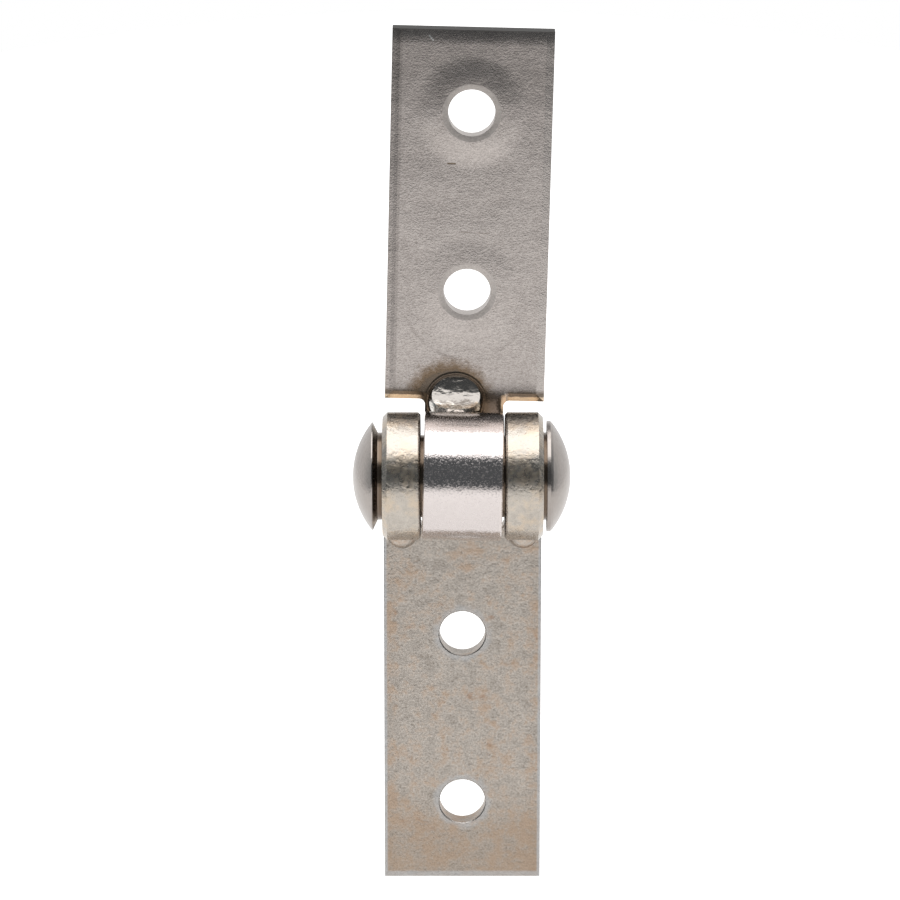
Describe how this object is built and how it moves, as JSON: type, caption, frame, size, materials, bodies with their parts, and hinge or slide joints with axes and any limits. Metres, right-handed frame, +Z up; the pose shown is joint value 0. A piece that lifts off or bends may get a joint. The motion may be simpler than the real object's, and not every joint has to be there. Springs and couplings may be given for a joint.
{
  "type": "folding door hinge",
  "caption": "Strap hinge for a folding door: a tongue leaf and a cheek leaf of rolled steel plate turn on a domed rivet, with bolt holes along each leaf.",
  "frame": {"origin": "middle of the rivet's axis, halfway along the barrel", "axes": "+X along the rivet towards its made head, +Y to the back faces of the leaves, +Z up the tongue leaf"},
  "size_m": [0.0408, 0.024, 0.1663],
  "materials": {
    "upper_leaf": "satin plated steel with a fine grain, glossier on the knuckle and the weld",
    "lower_leaf": "matt zinc-plated steel, mottled beige and ochre",
    "rivet": "satin grey steel, brown where the shank shows"
  },
  "bodies": {
    "upper": {"upper_leaf": "upper_leaf"},
    "lower": {"lower_leaf": "lower_leaf"},
    "pin": {"rivet": "rivet"}
  },
  "joints": [
    {"name": "fold", "type": "hinge", "parent": "upper", "child": "lower", "pos_m": [0, 0, 0], "axis": [-1, 0, 0], "range_deg": [-90, 190]},
    {"name": "rivet_spin", "type": "hinge", "parent": "upper", "child": "pin", "pos_m": [0, 0, 0], "axis": [1, 0, 0], "continuous": true}
  ]
}
